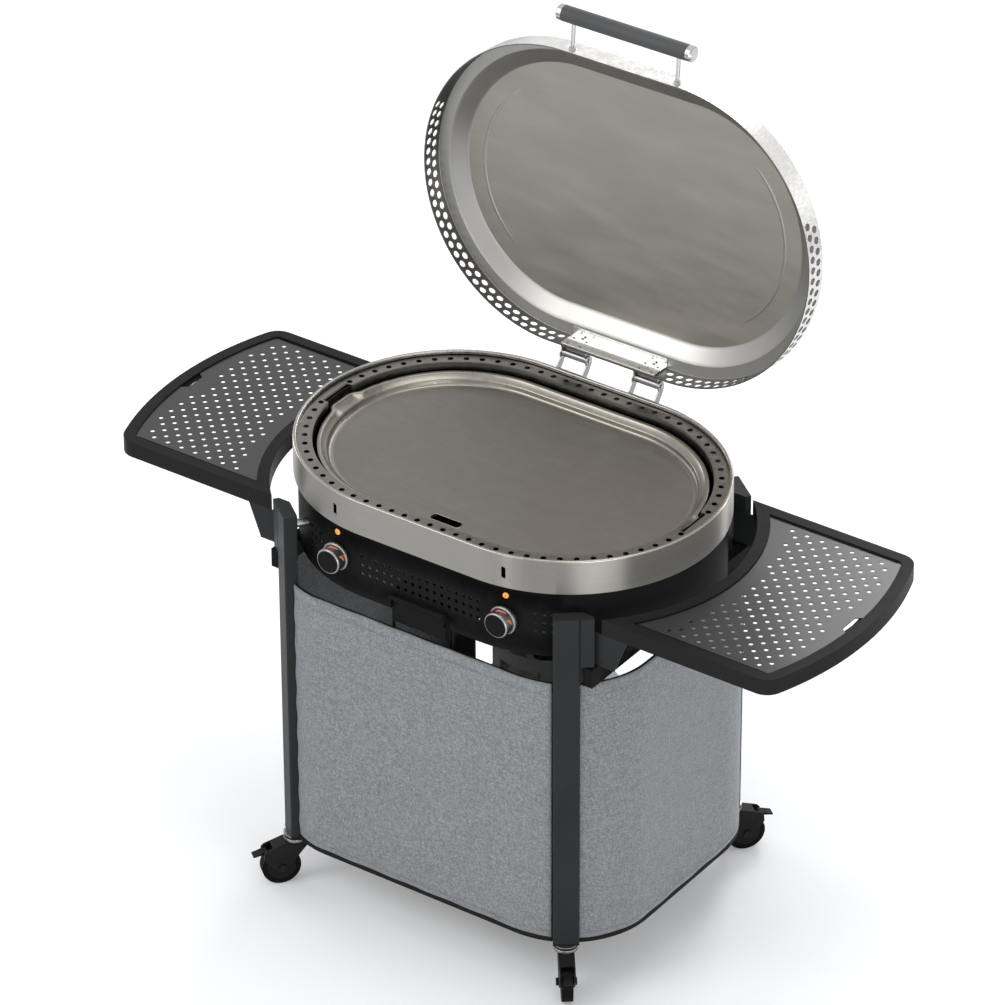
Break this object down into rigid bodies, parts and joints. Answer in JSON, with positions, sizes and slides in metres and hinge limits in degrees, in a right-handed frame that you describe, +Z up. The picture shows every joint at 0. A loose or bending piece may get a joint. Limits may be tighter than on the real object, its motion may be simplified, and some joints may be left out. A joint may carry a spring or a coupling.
{
  "type": "outdoor gas griddle station",
  "caption": "Obround gas griddle with a hinged lid, side shelves, knobs, grease tray, fabric-sided base for a gas cylinder, and swivel casters.",
  "frame": {"origin": "on the floor under the middle of the whole, 30 mm behind the centre of the griddle", "axes": "+Z up, -Y towards the front with the knobs and the lid handle, +X to the right seen from the front"},
  "size_m": [1.5342, 0.7506, 1.6337],
  "materials": {
    "stainless": "brushed",
    "black_coat": "satin powder coat",
    "grey_coat": "satin powder coat",
    "cooking_steel": "brushed cooking surface",
    "burner_steel": "plain tube",
    "bright_steel": "bright plated",
    "handle_grey": "satin",
    "knob_silver": "silver collar, matte grey face",
    "light_amber": "translucent amber",
    "fork_black": "gloss black",
    "wheel_black": "moulded",
    "cloth_grey": "heather weave",
    "cylinder_grey": "light grey paint",
    "brass": "machined",
    "wheel_green": "moulded"
  },
  "bodies": {
    "station": {"rim_band": "stainless", "vent_ring": "stainless", "control_skirt": "black_coat", "burner_pan": "black_coat", "grease_chute": "stainless", "plate_posts": "black_coat", "burners": "burner_steel", "gas_manifold": "burner_steel", "indicator_lights": "light_amber", "tray_rails": "black_coat", "head_spacers": "black_coat", "side_rail_right": "black_coat", "side_rail_left": "black_coat", "rear_crossbar": "black_coat", "caster_tops": "bright_steel", "bottom_shelf": "black_coat", "fabric_front": "cloth_grey", "fabric_right": "cloth_grey", "fabric_left": "cloth_grey", "hem_bars": "black_coat", "shelf_frame_right": "grey_coat", "shelf_plate_right": "grey_coat", "shelf_frame_left": "grey_coat", "shelf_plate_left": "grey_coat", "hinge_base": "bright_steel", "hinge_pins": "bright_steel", "leg_front_right": "grey_coat", "leg_front_left": "grey_coat", "leg_rear_right": "grey_coat", "leg_rear_left": "grey_coat", "shelf_bracket_front_right": "grey_coat", "shelf_bracket_front_left": "grey_coat", "shelf_bracket_rear_right": "grey_coat", "shelf_bracket_rear_left": "grey_coat"},
    "lid": {"lid_shell": "stainless", "lid_hinge_leaf": "bright_steel", "lid_knuckles": "bright_steel", "handle_tube": "handle_grey", "handle_caps": "bright_steel", "handle_posts": "bright_steel"},
    "griddle_plate": {"griddle_plate": "cooking_steel"},
    "knob_right": {"knob_right": "knob_silver"},
    "knob_left": {"knob_left": "knob_silver"},
    "grease_tray": {"grease_tray": "black_coat"},
    "gas_cylinder": {"gas_cylinder": "cylinder_grey", "gas_collar": "cylinder_grey", "gas_valve": "brass"},
    "gas_handwheel": {"gas_handwheel": "wheel_green"},
    "caster_front_right": {"caster_fork_front_right": "fork_black"},
    "brake_front_right": {"caster_brake_front_right": "fork_black"},
    "wheel_front_right": {"caster_wheel_front_right": "wheel_black"},
    "caster_front_left": {"caster_fork_front_left": "fork_black"},
    "brake_front_left": {"caster_brake_front_left": "fork_black"},
    "wheel_front_left": {"caster_wheel_front_left": "wheel_black"},
    "caster_rear_right": {"caster_fork_rear_right": "fork_black"},
    "brake_rear_right": {"caster_brake_rear_right": "fork_black"},
    "wheel_rear_right": {"caster_wheel_rear_right": "wheel_black"},
    "caster_rear_left": {"caster_fork_rear_left": "fork_black"},
    "brake_rear_left": {"caster_brake_rear_left": "fork_black"},
    "wheel_rear_left": {"caster_wheel_rear_left": "wheel_black"}
  },
  "joints": [
    {"name": "lid_hinge", "type": "hinge", "parent": "station", "child": "lid", "pos_m": [0, 0.29179, 0.9328], "axis": [1, 0, 0], "range_deg": [0, 93.7]},
    {"name": "plate_lift", "type": "slide", "parent": "station", "child": "griddle_plate", "axis": [0, 0, 1], "range_m": [0, 0.12]},
    {"name": "knob_right_turn", "type": "hinge", "parent": "station", "child": "knob_right", "pos_m": [0.186, -0.33031, 0.775], "axis": [0, -1, 0], "range_deg": [0, 225]},
    {"name": "knob_left_turn", "type": "hinge", "parent": "station", "child": "knob_left", "pos_m": [-0.186, -0.33031, 0.775], "axis": [0, -1, 0], "range_deg": [0, 225]},
    {"name": "tray_slide", "type": "slide", "parent": "station", "child": "grease_tray", "axis": [0, -1, 0], "range_m": [0, 0.15]},
    {"name": "cylinder_slide", "type": "slide", "parent": "station", "child": "gas_cylinder", "axis": [0, 1, 0], "range_m": [0, 0.48]},
    {"name": "handwheel_turn", "type": "hinge", "parent": "gas_cylinder", "child": "gas_handwheel", "pos_m": [0.09, -0.04031, 0.5], "axis": [0, 0, 1], "range_deg": [0, 360]},
    {"name": "swivel_front_right", "type": "hinge", "parent": "station", "child": "caster_front_right", "pos_m": [0.30984, -0.30387, 0.09], "axis": [0, 0, 1], "continuous": true},
    {"name": "roll_front_right", "type": "hinge", "parent": "caster_front_right", "child": "wheel_front_right", "pos_m": [0.32831, -0.32751, 0.038], "axis": [0.788, 0.6157, 0], "continuous": true},
    {"name": "brake_turn_front_right", "type": "hinge", "parent": "caster_front_right", "child": "brake_front_right", "pos_m": [0.34555, -0.34958, 0.072], "axis": [0.788, 0.6157, 0], "range_deg": [0, 12]},
    {"name": "swivel_front_left", "type": "hinge", "parent": "station", "child": "caster_front_left", "pos_m": [-0.30984, -0.30387, 0.09], "axis": [0, 0, 1], "continuous": true},
    {"name": "roll_front_left", "type": "hinge", "parent": "caster_front_left", "child": "wheel_front_left", "pos_m": [-0.32831, -0.32751, 0.038], "axis": [0.788, -0.6157, 0], "continuous": true},
    {"name": "brake_turn_front_left", "type": "hinge", "parent": "caster_front_left", "child": "brake_front_left", "pos_m": [-0.34555, -0.34958, 0.072], "axis": [0.788, -0.6157, 0], "range_deg": [0, 12]},
    {"name": "swivel_rear_right", "type": "hinge", "parent": "station", "child": "caster_rear_right", "pos_m": [0.30984, 0.24325, 0.09], "axis": [0, 0, 1], "continuous": true},
    {"name": "roll_rear_right", "type": "hinge", "parent": "caster_rear_right", "child": "wheel_rear_right", "pos_m": [0.32831, 0.26689, 0.038], "axis": [-0.788, 0.6157, 0], "continuous": true},
    {"name": "brake_turn_rear_right", "type": "hinge", "parent": "caster_rear_right", "child": "brake_rear_right", "pos_m": [0.34555, 0.28896, 0.072], "axis": [-0.788, 0.6157, 0], "range_deg": [0, 12]},
    {"name": "swivel_rear_left", "type": "hinge", "parent": "station", "child": "caster_rear_left", "pos_m": [-0.30984, 0.24325, 0.09], "axis": [0, 0, 1], "continuous": true},
    {"name": "roll_rear_left", "type": "hinge", "parent": "caster_rear_left", "child": "wheel_rear_left", "pos_m": [-0.32831, 0.26689, 0.038], "axis": [-0.788, -0.6157, 0], "continuous": true},
    {"name": "brake_turn_rear_left", "type": "hinge", "parent": "caster_rear_left", "child": "brake_rear_left", "pos_m": [-0.34555, 0.28896, 0.072], "axis": [-0.788, -0.6157, 0], "range_deg": [0, 12]}
  ]
}
